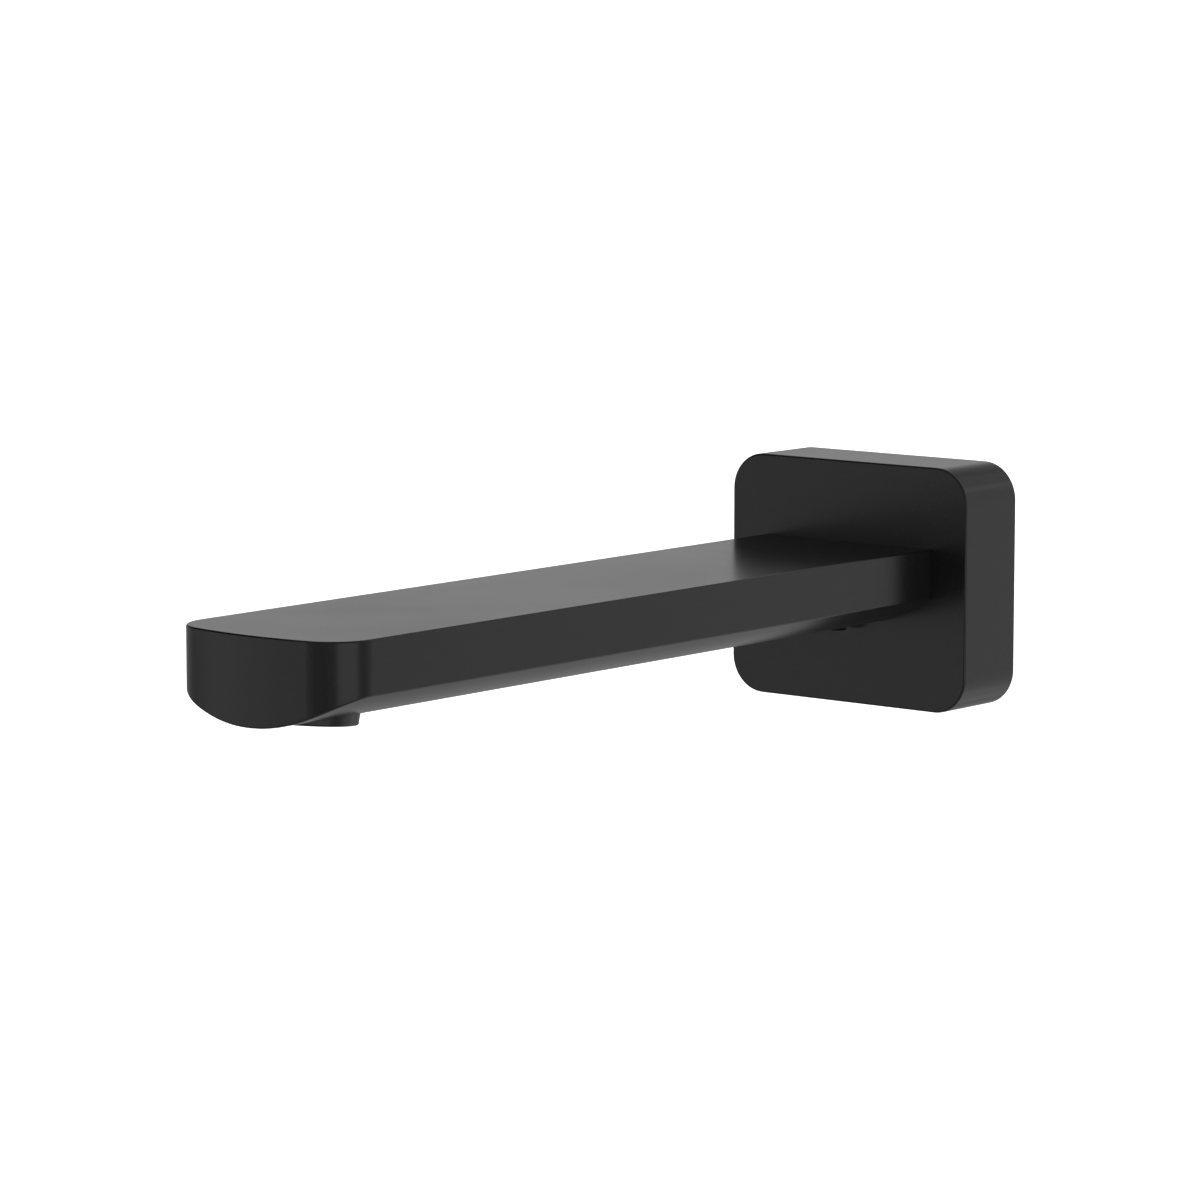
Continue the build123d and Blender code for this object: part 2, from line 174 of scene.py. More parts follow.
def finish(name, dark, light, smooth, rough, relief, grain, clouds, metallic=0.0, specular=0.5):
    """A material whose colour and roughness vary a little, with a fine relief."""
    material = bpy.data.materials.new(name)
    material.use_nodes = True
    tree = material.node_tree
    shader = tree.nodes["Principled BSDF"]
    texture = put(tree, "ShaderNodeGroup", -900, 0, node_tree=grain_group)
    texture.inputs["Grain per metre"].default_value = grain
    texture.inputs["Clouds per metre"].default_value = clouds
    texture.inputs["Relief"].default_value = relief
    shade = blend_range(tree, -600, 200, texture, "Grain", 0.0, 1.0)
    colour = put(tree, "ShaderNodeMix", -300, 200, data_type="RGBA")
    colour.inputs["A"].default_value = (*dark, 1.0)
    colour.inputs["B"].default_value = (*light, 1.0)
    wire(tree, shade, colour, 0, "Factor")
    wire(tree, colour, shader, "Result", "Base Color")
    gloss = blend_range(tree, -600, -100, texture, "Clouds", smooth, rough)
    wire(tree, gloss, shader, 0, "Roughness")
    wire(tree, texture, shader, "Normal", "Normal")
    shader.inputs["Metallic"].default_value = metallic
    shader.inputs["Specular IOR Level"].default_value = specular
    return material


# %% [markdown]
# The coat in the photograph is a satin black. Its own colour hardly counts, because almost all that is
# seen of it is a soft mirror image of the studio, so its numbers are a very dark colour, a weak mirror
# and a roughness of about a quarter. Brass shows where the coat was machined away. The plastics,
# seals and screens lie inside, for whoever takes the spout apart.

# %% The finishes of this spout
black_coat = finish(
    "satin black coat", (0.0052, 0.0052, 0.0054), (0.0075, 0.0075, 0.0077), 0.21, 0.25,
    relief=0.02, grain=2600.0, clouds=18.0, specular=0.3,
)
brass = finish(
    "turned brass", (0.62, 0.43, 0.17), (0.74, 0.54, 0.25), 0.22, 0.34,
    relief=0.08, grain=1500.0, clouds=120.0, metallic=1.0,
)
screw_steel = finish(
    "blackened screw steel", (0.006, 0.006, 0.0065), (0.012, 0.012, 0.0125), 0.3, 0.42,
    relief=0.1, grain=4000.0, clouds=300.0, specular=0.2,
)
wire_steel = finish(
    "stainless wire", (0.52, 0.52, 0.51), (0.62, 0.62, 0.61), 0.25, 0.35,
    relief=0.05, grain=5000.0, clouds=300.0, metallic=1.0,
)
black_plastic = finish(
    "black moulded plastic", (0.012, 0.012, 0.0125), (0.018, 0.018, 0.0185), 0.36, 0.46,
    relief=0.1, grain=5000.0, clouds=200.0,
)
grey_plastic = finish(
    "natural moulded plastic", (0.5, 0.51, 0.52), (0.57, 0.58, 0.59), 0.34, 0.44,
    relief=0.08, grain=5000.0, clouds=200.0,
)
rubber = finish(
    "black rubber", (0.018, 0.018, 0.018), (0.03, 0.03, 0.03), 0.55, 0.68,
    relief=0.25, grain=3500.0, clouds=150.0, specular=0.35,
)
foam = finish(
    "grey foam", (0.03, 0.03, 0.03), (0.1, 0.1, 0.1), 0.85, 0.95,
    relief=1.0, grain=1600.0, clouds=200.0, specular=0.2,
)

node_finish = {
    "spout_body": black_coat,
    "wall_plate": black_coat,
    "plate_seal": foam,
    "inlet_nipple": brass,
    "collar_washer": rubber,
    "set_screw": screw_steel,
    "aerator_housing": black_plastic,
    "outlet_honeycomb": black_plastic,
    "lower_screen": wire_steel,
    "upper_screen": wire_steel,
    "mixing_ring": grey_plastic,
    "jet_plate": grey_plastic,
    "flow_regulator": grey_plastic,
    "strainer_cap": grey_plastic,
    "aerator_washer": rubber,
    "rear_o_ring": rubber,
    "front_o_ring": rubber,
    "neck_o_ring": rubber,
    "regulator_ring": rubber,
}
for name, material in node_finish.items():
    mesh = nodes[name].data
    mesh.materials.clear()
    mesh.materials.append(material)
print("finishes given to", len(node_finish), "nodes")

# %% [markdown]
# ## Where the black coat ends
#
# The coat covers what the hand and the eye reach. The bore that takes the nipple and the hole
# through the plate's hub are machined after coating, so they are bare brass, and the hollow behind
# the plate gets only a thin, dull overspray. A solid can carry several finishes: each face keeps
# the number of its material, and the faces are told apart here by where they lie.

# %% Bare and thinly coated faces
overspray = finish(
    "thin overspray on cast brass", (0.014, 0.012, 0.009), (0.045, 0.034, 0.018), 0.5, 0.66,
    relief=0.5, grain=1300.0, clouds=90.0, specular=0.3,
)
plate_low, plate_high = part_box("wall_plate")
skin = 0.9 * millimetre
corner_reach = 30 * millimetre
bore_reach = 10 * millimetre

# How far a normal may lean along the axis on a round face, and on one that may also be a chamfer
round_lean = 0.5
chamfer_lean = 0.9


def radius_from_inlet(point):
    """Distance from the axis of the inlet, which is the Y axis."""
    return (point.x ** 2 + point.z ** 2) ** 0.5


def give_faces(node, material, picks):
    """Gives another finish to the faces of a solid that a test picks by centre and normal."""
    mesh = nodes[node].data
    mesh.materials.append(material)
    slot = len(mesh.materials) - 1
    count = 0
    for face in mesh.polygons:
        if picks(face.center, face.normal):
            face.material_index = slot
            count += 1
    print(node, material.name, count, "faces")


def faces_outwards(point, normal):
    """Whether a face looks away from the axis of the inlet."""
    return normal.x * point.x + normal.z * point.z > 0


def inside_plate(point, normal):
    """The hollow behind the plate: all that isn't in its outer skin or on its round corners."""
    at_corner = abs(normal.y) < round_lean and radius_from_inlet(point) > corner_reach
    return (
        point.y > plate_low.y + skin
        and plate_low.x + skin < point.x < plate_high.x - skin
        and plate_low.z + skin < point.z < plate_high.z - skin
        and not (at_corner and faces_outwards(point, normal))
    )


def bored_face(point, normal):
    """A round face about the inlet's axis that looks inwards."""
    near = radius_from_inlet(point) < bore_reach
    return near and abs(normal.y) < chamfer_lean and not faces_outwards(point, normal)


give_faces("wall_plate", overspray, inside_plate)
give_faces("wall_plate", brass, bored_face)

# %% [markdown]
# The outlet's bore is cut after coating as well, because the aerator's thread has to be clean. Its
# axis leans with the outlet, so these faces are told apart by their distance from that axis.

# %% Bare bores of the arm
outlet_tilt = radians(5.6)
outlet_axis = Vector((0.0, sin(outlet_tilt), cos(outlet_tilt)))
housing_low, housing_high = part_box("aerator_housing")
outlet_middle = (housing_low + housing_high) / 2
outlet_reach = 11.2 * millimetre


def outlet_bore_face(point, normal):
    """A round face about the outlet's axis that looks inwards."""
    offset = point - outlet_middle
    aside = offset - outlet_axis * offset.dot(outlet_axis)
    is_round = abs(normal.dot(outlet_axis)) < round_lean
    return is_round and aside.length < outlet_reach and aside.dot(normal) < 0


def bare_body_face(point, normal):
    """A machined bore of the arm, at either end."""
    return bored_face(point, normal) or outlet_bore_face(point, normal)


give_faces("spout_body", brass, bare_body_face)

# %% [markdown]
# ## Screw threads
#
# The nipple is screwed into the wall by a G1/2 pipe thread, 14 turns to the inch, and the arm is
# locked by an M5 set screw. In the solids both are plain cylinders. A thread is one rule: the radius
# rises and falls along a line that climbs by one pitch each turn. Modelling every turn by hand would
# be slow, and a bump would leave the outline smooth, so a Geometry Nodes tree makes it from its sizes.
# The same tree then serves the coarse pipe thread and the fine screw thread.

# %% What the thread tree is given
thread_tree = bpy.data.node_groups.new("screw thread", "GeometryNodeTree")
thread_sockets = thread_tree.interface
for name in ("Radius", "Depth", "Pitch", "Length", "Start radius", "End radius"):
    thread_sockets.new_socket(name, in_out="INPUT", socket_type="NodeSocketFloat")
for name in ("Rows per turn", "Sides"):
    thread_sockets.new_socket(name, in_out="INPUT", socket_type="NodeSocketInt")
thread_sockets.new_socket("Finish", in_out="INPUT", socket_type="NodeSocketMaterial")
thread_sockets.new_socket("Thread", in_out="OUTPUT", socket_type="NodeSocketGeometry")
sizes = put(thread_tree, "NodeGroupInput", -1600, 0)
print("screw thread:", len(thread_sockets.items_tree), "sockets")

# %% [markdown]
# The tree starts with a flat sheet of faces. One side of the sheet will go round the axis and the
# other along it. It has one turn more than the thread is long, because its rows are laid slanting
# and the slant uses up one pitch.

# %% A flat sheet, one turn longer than the thread
turns = calculate(thread_tree, "DIVIDE", -1400, 300, (sizes, "Length"), (sizes, "Pitch"))
all_turns = calculate(thread_tree, "ADD", -1250, 300, (turns, 0), 1.0)
row_steps = calculate(thread_tree, "MULTIPLY", -1100, 300, (all_turns, 0), (sizes, "Rows per turn"))
whole_steps = calculate(thread_tree, "CEIL", -950, 300, (row_steps, 0))
row_count = calculate(thread_tree, "ADD", -800, 300, (whole_steps, 0), 1.0)
side_count = calculate(thread_tree, "ADD", -800, 150, (sizes, "Sides"), 1.0)
sheet = put(thread_tree, "GeometryNodeMeshGrid", -600, 300)
wire(thread_tree, row_count, sheet, 0, "Vertices X")
wire(thread_tree, side_count, sheet, 0, "Vertices Y")
print("sheet:", len(thread_tree.nodes), "nodes")

# %% [markdown]
# Each row of the sheet keeps its place on the wave and climbs by one pitch as it goes round, so each
# crest is one clean row of edges. Where a row would leave the thread at either end, it is pressed
# onto that end.

# %% Rows that climb with the helix
sheet_spot = put(thread_tree, "GeometryNodeInputPosition", -1400, -200)
sheet_parts = put(thread_tree, "ShaderNodeSeparateXYZ", -1250, -200)
wire(thread_tree, sheet_spot, sheet_parts)
from_start = calculate(thread_tree, "ADD", -1100, -100, (sheet_parts, "X"), 0.5)
around = calculate(thread_tree, "ADD", -1100, -250, (sheet_parts, "Y"), 0.5)
row = calculate(thread_tree, "MULTIPLY", -950, -100, (from_start, 0), (whole_steps, 0))
crest_turn = calculate(thread_tree, "DIVIDE", -800, -100, (row, 0), (sizes, "Rows per turn"))
climbed = calculate(thread_tree, "SUBTRACT", -650, -100, (crest_turn, 0), (around, 0))
raw_along = calculate(thread_tree, "MULTIPLY", -500, -100, (climbed, 0), (sizes, "Pitch"))
above_start = calculate(thread_tree, "MAXIMUM", -350, -100, (raw_along, 0), 0.0)
along = calculate(thread_tree, "MINIMUM", -200, -100, (above_start, 0), (sizes, "Length"))
print("with climbing rows:", len(thread_tree.nodes), "nodes")

# %% [markdown]
# Along the thread the radius is a cosine wave, one wave to a turn. Real crests and roots are cut with
# a little flat and a little round, and at this size a wave looks the same and needs few rows.

# %% The wave of crests and roots
wave_angle = calculate(thread_tree, "MULTIPLY", -650, -350, (crest_turn, 0), 2 * pi)
wave = calculate(thread_tree, "COSINE", -500, -350, (wave_angle, 0))
wave_dip = calculate(thread_tree, "SUBTRACT", -350, -350, 1.0, (wave, 0))
half_dip = calculate(thread_tree, "MULTIPLY", -200, -350, (wave_dip, 0), 0.5)
cut = calculate(thread_tree, "MULTIPLY", -50, -350, (half_dip, 0), (sizes, "Depth"))
ridge = calculate(thread_tree, "SUBTRACT", 100, -350, (sizes, "Radius"), (cut, 0))
print("with crests and roots:", len(thread_tree.nodes), "nodes")

# %% [markdown]
# A real thread starts and ends in a chamfer, which lets the nut find it. Here the chamfer is a limit
# on the radius that grows at 45 degrees from either end. The pressed rows take the limit itself, so
# they all meet in the end circle and can be merged.

# %% Chamfered ends
start_limit = calculate(thread_tree, "ADD", -50, -500, (sizes, "Start radius"), (along, 0))
left_over = calculate(thread_tree, "SUBTRACT", -50, -650, (sizes, "Length"), (along, 0))
end_limit = calculate(thread_tree, "ADD", 100, -650, (sizes, "End radius"), (left_over, 0))
limit = calculate(thread_tree, "MINIMUM", 250, -550, (start_limit, 0), (end_limit, 0))
trimmed = calculate(thread_tree, "MINIMUM", 250, -350, (ridge, 0), (limit, 0))
after_start = calculate(thread_tree, "GREATER_THAN", 250, -700, (raw_along, 0), 0.0)
before_end = calculate(thread_tree, "LESS_THAN", 250, -850, (raw_along, 0), (sizes, "Length"))
on_thread = calculate(thread_tree, "MULTIPLY", 400, -750, (after_start, 0), (before_end, 0))
thread_radius = put(thread_tree, "ShaderNodeMix", 550, -500, data_type="FLOAT")
wire(thread_tree, on_thread, thread_radius, 0, "Factor")
wire(thread_tree, limit, thread_radius, 0, "A")
wire(thread_tree, trimmed, thread_radius, 0, "B")
print("with chamfered ends:", len(thread_tree.nodes), "nodes")

# %% [markdown]
# Now every point of the sheet knows its angle, its place along the axis and its radius. Two products
# with the cosine and the sine of the angle turn these into a point in space.

# %% The sheet bent round the axis
angle = calculate(thread_tree, "MULTIPLY", -650, -250, (around, 0), 2 * pi)
angle_cos = calculate(thread_tree, "COSINE", 550, -200, (angle, 0))
angle_sin = calculate(thread_tree, "SINE", 550, -350, (angle, 0))
round_x = calculate(thread_tree, "MULTIPLY", 700, -200, (angle_cos, 0), (thread_radius, "Result"))
round_z = calculate(thread_tree, "MULTIPLY", 700, -350, (angle_sin, 0), (thread_radius, "Result"))
bent = put(thread_tree, "ShaderNodeCombineXYZ", 850, -250)
wire(thread_tree, round_x, bent, 0, "X")
wire(thread_tree, along, bent, 0, "Y")
wire(thread_tree, round_z, bent, 0, "Z")
bend = put(thread_tree, "GeometryNodeSetPosition", 1000, 100)
wire(thread_tree, sheet, bend, 0, "Geometry")
wire(thread_tree, bent, bend, 0, "Position")
print("bent to a tube:", len(thread_tree.nodes), "nodes")

# %% [markdown]
# The two long edges of the sheet now lie on each other, and so do the pressed rows at either end.
# Merging by distance closes the tube there. Realize Instances and Set Material end the tree, because
# an export keeps only real faces that carry their own finish.

# %% Seam and ends merged, finish given
merge = put(thread_tree, "GeometryNodeMergeByDistance", 1150, 100)
merge.inputs["Distance"].default_value = 0.002 * millimetre
smooth = put(thread_tree, "GeometryNodeSetShadeSmooth", 1300, 100)
realize = put(thread_tree, "GeometryNodeRealizeInstances", 1450, 100)
coat = put(thread_tree, "GeometryNodeSetMaterial", 1600, 100)
thread_out = put(thread_tree, "NodeGroupOutput", 1750, 100)
thread_chain = (bend, merge, smooth, realize, coat, thread_out)
for source, target in zip(thread_chain, thread_chain[1:]):
    wire(thread_tree, source, target)
wire(thread_tree, sizes, coat, "Finish", "Material")
print("screw thread:", len(thread_tree.nodes), "nodes")

# %% [markdown]
# A tree runs as a modifier on an empty mesh. Its inputs are set by their identifiers before the first
# evaluation, and the evaluated result is copied into a mesh of its own, so no modifier stays behind.

# %% Run a tree and keep its result


def grow(tree, values):
    """Runs a tree with the given inputs and returns its result as a plain mesh."""
    holder = bpy.data.objects.new(tree.name, bpy.data.meshes.new(tree.name))
    bpy.context.scene.collection.objects.link(holder)
    modifier = holder.modifiers.new(tree.name, "NODES")
    modifier.node_group = tree
    for item in tree.interface.items_tree:
        if item.in_out == "INPUT" and item.name in values:
            modifier[item.identifier] = values[item.name]
    bpy.context.view_layer.update()
    graph = bpy.context.evaluated_depsgraph_get()
    mesh = bpy.data.meshes.new_from_object(holder.evaluated_get(graph))
    holder.modifiers.remove(modifier)
    bpy.data.objects.remove(holder)
    return mesh


# %% [markdown]
# The same tree is run twice. The pipe thread reaches from the wall's plane to the end of the nipple,
# and its first rows start at the undercut behind it. The set screw's thread is as long as the screw
# less its plain point, and starts at the rim of the key's socket.

# %% The two threads
inch = 25.4 * millimetre
pipe_radius = 20.955 / 2 * millimetre
pipe_chamfer = 1.2 * millimetre
undercut_radius = 9.2 * millimetre
nipple_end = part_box("inlet_nipple")[1].y
pipe_thread = grow(thread_tree, {
    "Radius": pipe_radius, "Depth": 1.162 * millimetre, "Pitch": inch / 14,
    "Length": nipple_end, "Start radius": undercut_radius,
    "End radius": pipe_radius - pipe_chamfer, "Rows per turn": 14, "Sides": 96, "Finish": brass,
})

screw_low, screw_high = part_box("set_screw")
screw_radius = 2.5 * millimetre
socket_rim = 2.15 * millimetre
screw_point = 1.0 * millimetre
screw_thread = grow(thread_tree, {
    "Radius": screw_radius, "Depth": 0.45 * millimetre, "Pitch": 0.8 * millimetre,
    "Length": screw_high.z - screw_low.z - screw_point, "Start radius": socket_rim,
    "End radius": screw_radius, "Rows per turn": 12, "Sides": 48, "Finish": screw_steel,
})
print("pipe thread", len(pipe_thread.polygons), "faces, screw thread", len(screw_thread.polygons), "faces")

# %% [markdown]
# ## The nipple and the set screw with their threads
#
# Each threaded piece is the solid's own surface with its plain cylinder taken off and the thread put
# in its place, so all other faces stay exactly where the solid has them.

# %% Put the threads on their pieces
same_place = 0.0005 * millimetre
hair = 0.01 * millimetre
sharp_angle = radians(32)


def threaded_piece(name, node, thread, on_cylinder):
    """A copy of a solid whose plain threaded faces are exchanged for a real thread."""
    surface = bmesh.new()
    surface.from_mesh(nodes[node].data)
    bmesh.ops.remove_doubles(surface, verts=surface.verts[:], dist=same_place)
    plain = [face for face in surface.faces if on_cylinder(face.calc_center_median())]
    bmesh.ops.delete(surface, geom=plain, context="FACES")
    surface.from_mesh(thread)
    bmesh.ops.recalc_face_normals(surface, faces=surface.faces[:])
    mesh = bpy.data.meshes.new(name)
    surface.to_mesh(mesh)
    surface.free()
    mesh.polygons.foreach_set("use_smooth", [True] * len(mesh.polygons))
    mesh.set_sharp_from_angle(angle=sharp_angle)
    mesh.materials.append(node_finish[node])
    piece = bpy.data.objects.new(name, mesh)
    bpy.context.scene.collection.objects.link(piece)
    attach(piece, "root")
    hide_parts(node)
    print(name, len(plain), "plain faces exchanged for", len(thread.polygons))
    return piece


def nipple_cylinder(point):
    """The thread's major diameter, its chamfer, and the step behind it."""
    outer = radius_from_inlet(point) > undercut_radius - 0.1 * millimetre
    return outer and -hair < point.y < nipple_end - hair


screw_axis = (screw_low + screw_high) / 2


def screw_cylinder(point):
    """The screw's outside below its point, down to the chamfer round the socket."""
    reach = ((point.x - screw_axis.x) ** 2 + (point.y - screw_axis.y) ** 2) ** 0.5
    outer = reach > socket_rim - 0.05 * millimetre
    return outer and screw_low.z + hair < point.z < screw_high.z - screw_point


# The tree lays a thread along +Y, and the set screw stands upright
screw_thread.transform(
    Matrix.Translation((screw_axis.x, screw_axis.y, screw_low.z)) @ Matrix.Rotation(pi / 2, 4, "X")
)
threaded_nipple = threaded_piece("threaded_nipple", "inlet_nipple", pipe_thread, nipple_cylinder)
threaded_set_screw = threaded_piece("threaded_set_screw", "set_screw", screw_thread, screw_cylinder)

# %% [markdown]
# ## Woven screens
#
# Inside the aerator two fine screens break up the stream, so that it draws in air. The solids have
# thin discs with square openings in their place. The real ones are cut from woven steel cloth, in
# which each wire passes over one crossing wire and under the next. Drawn by hand that is hundreds of
# bends, but the height of a wire is only the product of two cosines of its place, so a tree of a few
# nodes weaves the whole cloth.

# %% What the screen tree is given
screen_tree = bpy.data.node_groups.new("woven screen", "GeometryNodeTree")
screen_sockets = screen_tree.interface
for name in ("Radius", "Wire", "Pitch"):
    screen_sockets.new_socket(name, in_out="INPUT", socket_type="NodeSocketFloat")
screen_sockets.new_socket("Points per wire", in_out="INPUT", socket_type="NodeSocketInt")
screen_sockets.new_socket("Finish", in_out="INPUT", socket_type="NodeSocketMaterial")
screen_sockets.new_socket("Cloth", in_out="OUTPUT", socket_type="NodeSocketGeometry")
cloth_sizes = put(screen_tree, "NodeGroupInput", -1600, 0)
print("woven screen:", len(screen_sockets.items_tree), "sockets")

# %% [markdown]
# First comes a row of straight wires, as many on either side of the middle as the radius has room for.
# One wire is drawn as a line with enough points for its bends, and a point for each wire gets a copy.

# %% A row of straight wires
half_width = calculate(screen_tree, "DIVIDE", -1400, 200, (cloth_sizes, "Radius"), (cloth_sizes, "Pitch"))
wires_aside = calculate(screen_tree, "FLOOR", -1250, 200, (half_width, 0))
wires_both = calculate(screen_tree, "MULTIPLY", -1100, 200, (wires_aside, 0), 2.0)
wire_count = calculate(screen_tree, "ADD", -950, 200, (wires_both, 0), 1.0)
first_place = calculate(screen_tree, "MULTIPLY", -1100, 50, (wires_aside, 0), (cloth_sizes, "Pitch"))
first_side = calculate(screen_tree, "MULTIPLY", -950, 50, (first_place, 0), -1.0)
wire_end = calculate(screen_tree, "MULTIPLY", -1100, -250, (cloth_sizes, "Radius"), -1.0)
row_start = put(screen_tree, "ShaderNodeCombineXYZ", -800, 50)
row_step = put(screen_tree, "ShaderNodeCombineXYZ", -800, -100)
line_start = put(screen_tree, "ShaderNodeCombineXYZ", -800, -250)
line_end = put(screen_tree, "ShaderNodeCombineXYZ", -800, -400)
wire(screen_tree, first_side, row_start, 0, "Y")
wire(screen_tree, cloth_sizes, row_step, "Pitch", "Y")
wire(screen_tree, wire_end, line_start, 0, "X")
wire(screen_tree, cloth_sizes, line_end, "Radius", "X")

places = put(screen_tree, "GeometryNodeMeshLine", -600, 150, mode="OFFSET")
line = put(screen_tree, "GeometryNodeCurvePrimitiveLine", -600, -250)
fine_line = put(screen_tree, "GeometryNodeResampleCurve", -450, -250, mode="COUNT")
copies = put(screen_tree, "GeometryNodeInstanceOnPoints", -300, 100)
straight = put(screen_tree, "GeometryNodeRealizeInstances", -150, 100)
wire(screen_tree, wire_count, places, 0, "Count")
wire(screen_tree, row_start, places, 0, "Start Location")
wire(screen_tree, row_step, places, 0, "Offset")
wire(screen_tree, line_start, line, 0, "Start")
wire(screen_tree, line_end, line, 0, "End")
wire(screen_tree, line, fine_line, 0, "Curve")
wire(screen_tree, cloth_sizes, fine_line, "Points per wire", "Count")
wire(screen_tree, places, copies, 0, "Points")
wire(screen_tree, fine_line, copies, 0, "Instance")
wire(screen_tree, copies, straight)
print("straight wires:", len(screen_tree.nodes), "nodes")

# %% [markdown]
# The wires cross at every whole pitch. A cosine that turns half way round between two crossings is up
# at one and down at the next, in both directions, and the product of the two gives the whole weave.
# It lifts a wire by just under half its thickness, so that crossing wires press on each other.

# %% Wires that pass over and under
wave_share = 0.48
wire_spot = put(screen_tree, "GeometryNodeInputPosition", -900, -600)
wire_parts = put(screen_tree, "ShaderNodeSeparateXYZ", -750, -600)
wire(screen_tree, wire_spot, wire_parts)
phases = []
for axis, level in (("X", -550), ("Y", -700)):
    pitches = calculate(screen_tree, "DIVIDE", -600, level, (wire_parts, axis), (cloth_sizes, "Pitch"))
    half_turns = calculate(screen_tree, "MULTIPLY", -450, level, (pitches, 0), pi)
    phases.append(calculate(screen_tree, "COSINE", -300, level, (half_turns, 0)))
over_under = calculate(screen_tree, "MULTIPLY", -150, -600, (phases[0], 0), (phases[1], 0))
rise = calculate(screen_tree, "MULTIPLY", -150, -750, (cloth_sizes, "Wire"), wave_share)
wire_height = calculate(screen_tree, "MULTIPLY", 0, -650, (over_under, 0), (rise, 0))
lift = put(screen_tree, "ShaderNodeCombineXYZ", 150, -600)
wavy = put(screen_tree, "GeometryNodeSetPosition", 0, 100)
wire(screen_tree, wire_height, lift, 0, "Z")
wire(screen_tree, straight, wavy, 0, "Geometry")
wire(screen_tree, lift, wavy, 0, "Offset")
print("with waves:", len(screen_tree.nodes), "nodes")

# %% [markdown]
# A disc is punched out of the cloth, so all points beyond its radius go. What is left of each wire is
# swept with a hexagon, which is round enough for so thin a wire, and its ends are closed.

# %% Cut to a disc and given their thickness
reach_out = put(screen_tree, "ShaderNodeVectorMath", -600, -900, operation="LENGTH")
cut_radius = calculate(screen_tree, "SUBTRACT", -450, -1000, (cloth_sizes, "Radius"), (cloth_sizes, "Wire"))
outside = calculate(screen_tree, "GREATER_THAN", -300, -900, (reach_out, "Value"), (cut_radius, 0))
trim = put(screen_tree, "GeometryNodeDeleteGeometry", 150, 100, domain="POINT")
wire_radius = calculate(screen_tree, "MULTIPLY", 0, -150, (cloth_sizes, "Wire"), 0.5)
section = put(screen_tree, "GeometryNodeCurvePrimitiveCircle", 150, -150)
section.inputs["Resolution"].default_value = 6
thick = put(screen_tree, "GeometryNodeCurveToMesh", 300, 100)
thick.inputs["Fill Caps"].default_value = True
wire(screen_tree, wire_spot, reach_out)
wire(screen_tree, wavy, trim, 0, "Geometry")
wire(screen_tree, outside, trim, 0, "Selection")
wire(screen_tree, wire_radius, section, 0, "Radius")
wire(screen_tree, trim, thick, 0, "Curve")
wire(screen_tree, section, thick, 0, "Profile Curve")
print("cut and thick:", len(screen_tree.nodes), "nodes")

# %% [markdown]
# The crossing wires are the same row once more, turned a quarter and laid over on its back. Where the
# first row is up the second is then down, which is exactly what weaving does.

# %% The crossing wires
crossing = put(screen_tree, "GeometryNodeTransform", 450, -50)
crossing.inputs["Rotation"].default_value = (pi, 0.0, pi / 2)
both_rows = put(screen_tree, "GeometryNodeJoinGeometry", 600, 100)
soft = put(screen_tree, "GeometryNodeSetShadeSmooth", 750, 100)
whole = put(screen_tree, "GeometryNodeRealizeInstances", 900, 100)
steel = put(screen_tree, "GeometryNodeSetMaterial", 1050, 100)
cloth_out = put(screen_tree, "NodeGroupOutput", 1200, 100)
wire(screen_tree, thick, crossing)
wire(screen_tree, crossing, both_rows)
cloth_chain = (thick, both_rows, soft, whole, steel, cloth_out)
for source, target in zip(cloth_chain, cloth_chain[1:]):
    wire(screen_tree, source, target)
wire(screen_tree, cloth_sizes, steel, "Finish", "Material")
print("woven screen:", len(screen_tree.nodes), "nodes")

# %% [markdown]
# Both screens are cut from the same cloth. Each is laid where its solid disc lies, in the middle of
# its box, and tilted as the outlet is.

# %% Weave the two screens
screen_low, screen_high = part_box("lower_screen")
screen_radius = (screen_high.x - screen_low.x) / 2
cloth = grow(screen_tree, {
    "Radius": screen_radius, "Wire": 0.15 * millimetre, "Pitch": 0.8 * millimetre,
    "Points per wire": 95, "Finish": wire_steel,
})
for node in ("lower_screen", "upper_screen"):
    screen_low, screen_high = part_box(node)
    middle = Matrix.Translation((screen_low + screen_high) / 2)
    mesh = cloth.copy()
    mesh.transform(middle @ Matrix.Rotation(-outlet_tilt, 4, "X"))
    woven = bpy.data.objects.new("woven_" + node, mesh)
    bpy.context.scene.collection.objects.link(woven)
    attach(woven, "root")
    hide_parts(node)
    print(woven.name, len(mesh.polygons), "faces")

# %% [markdown]
# ## The studio
#
# The spout is photographed hanging free in a white cove, and the picture's background was cut out to
# pure white. The cove is a round floor of pale paper whose edge rises in one sweep, as a roll of
# paper does, so no line of a horizon shows from any side. It is one outline turned about a centre:
# a flat disc, a quarter turn, and a low wall.

# %% Floor and cove
floor_drop = 1.3
floor_radius = 7.0
sweep_radius = 1.2
wall_top = 1.7
sweep_steps = 12
cove_sides = 96

outline = [(floor_radius, -floor_drop)]
for step in range(1, sweep_steps + 1):
    turn = pi / 2 * step / sweep_steps
    climb = sweep_radius * (1 - cos(turn))
    outline.append((floor_radius + sweep_radius * sin(turn), climb - floor_drop))
outline.append((floor_radius + sweep_radius, wall_top))
floor_points = []
for radius, height in outline:
    for side in range(cove_sides):
        turn = 2 * pi * side / cove_sides
        floor_points.append((radius * cos(turn), radius * sin(turn), height))
floor_faces = [tuple(range(cove_sides))]
for ring in range(len(outline) - 1):
    for side in range(cove_sides):
        here = ring * cove_sides + side
        after = ring * cove_sides + (side + 1) % cove_sides
        floor_faces.append((here, here + cove_sides, after + cove_sides, after))
floor_mesh = bpy.data.meshes.new("paper floor")
floor_mesh.from_pydata(floor_points, [], floor_faces)
floor_mesh.polygons.foreach_set("use_smooth", [True] * len(floor_faces))
paper_floor = bpy.data.objects.new("paper_floor", floor_mesh)
bpy.context.scene.collection.objects.link(paper_floor)
print("floor", len(floor_faces), "faces")

